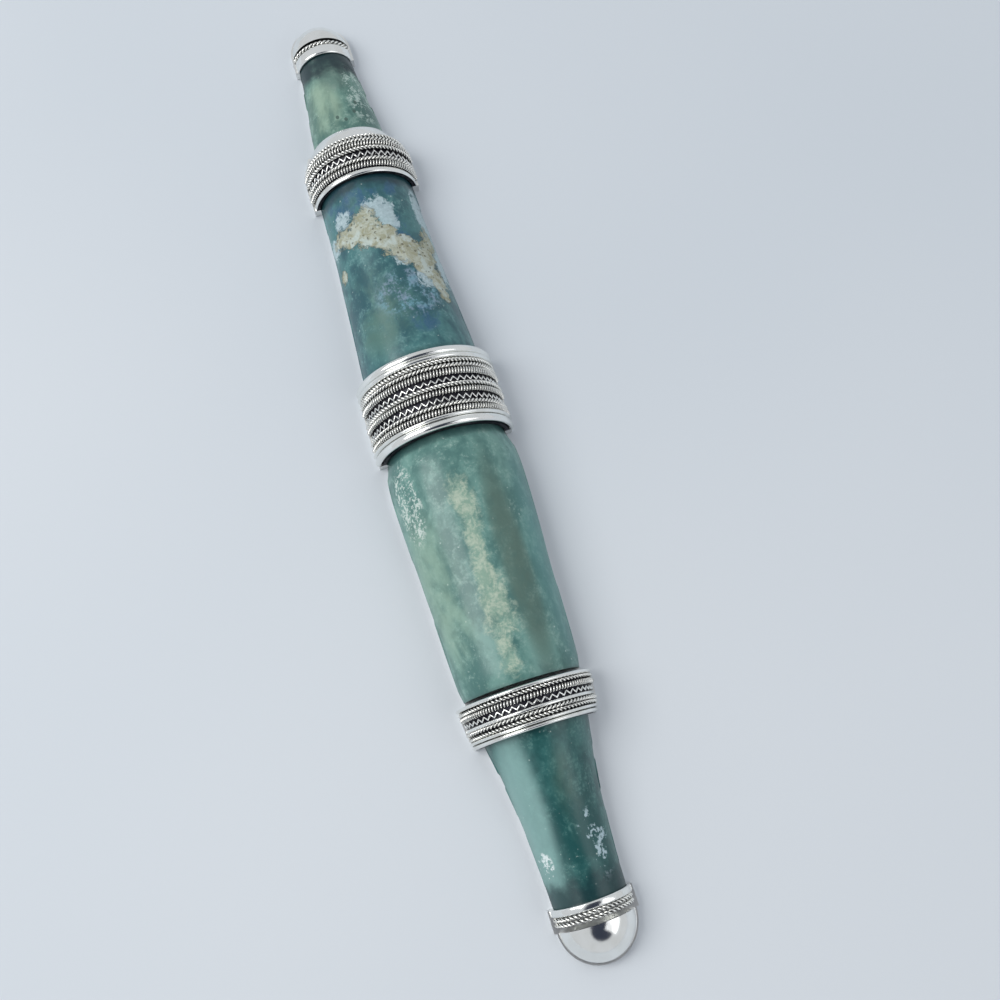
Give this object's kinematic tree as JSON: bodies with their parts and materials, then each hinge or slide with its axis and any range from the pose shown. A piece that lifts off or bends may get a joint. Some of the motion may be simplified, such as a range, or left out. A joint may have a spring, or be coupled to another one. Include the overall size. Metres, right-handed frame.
{
  "type": "mezuzah case",
  "caption": "Half-round mezuzah case of weathered glass panels between silver filigree bands and domed end caps, with a sliding back hatch and a blank scroll.",
  "frame": {"origin": "middle of the flat back face, halfway between the two dome tips", "axes": "+Z out of the front crown, +Y to the upper end along the case, +X to the right seen from the front"},
  "size_m": [0.0284, 0.2, 0.0143],
  "materials": {
    "weathered_glass_top": "weathered, satin",
    "weathered_glass_upper": "weathered, pitted crust",
    "weathered_glass_lower": "weathered, satin",
    "weathered_glass_bottom": "weathered, satin",
    "filigree_silver": "twisted wire, lightly oxidised",
    "polished_silver": "polished",
    "oxidised_silver": "darkened recess",
    "plate_silver": "satin",
    "parchment": "matt"
  },
  "bodies": {
    "case": {"glass_top": "weathered_glass_top", "glass_upper": "weathered_glass_upper", "glass_lower": "weathered_glass_lower", "glass_bottom": "weathered_glass_bottom", "upper_band_twists": "filigree_silver", "upper_band_ropes": "filigree_silver", "upper_band_zigzag": "filigree_silver", "middle_band_twists": "filigree_silver", "middle_band_ropes": "filigree_silver", "middle_band_zigzags": "filigree_silver", "lower_band_twists": "filigree_silver", "lower_band_ropes": "filigree_silver", "lower_band_zigzag": "filigree_silver", "upper_cap_twist": "filigree_silver", "lower_cap_twists": "filigree_silver", "upper_band_rim": "polished_silver", "middle_band_top_rims": "polished_silver", "middle_band_bottom_rims": "polished_silver", "lower_band_top_rim": "polished_silver", "lower_band_bottom_rims": "polished_silver", "lower_band_flat_wire": "polished_silver", "upper_cap_collar": "polished_silver", "upper_cap_dome": "polished_silver", "lower_cap_collar": "polished_silver", "lower_cap_dome": "polished_silver", "upper_band_sleeve": "oxidised_silver", "middle_band_sleeve": "oxidised_silver", "lower_band_sleeve": "oxidised_silver", "back_plate": "plate_silver", "scroll": "parchment"},
    "hatch": {"hatch_door": "plate_silver"}
  },
  "joints": [
    {"name": "hatch_slide", "type": "slide", "parent": "case", "child": "hatch", "axis": [0, -1, 0], "range_m": [0, 0.072]}
  ]
}
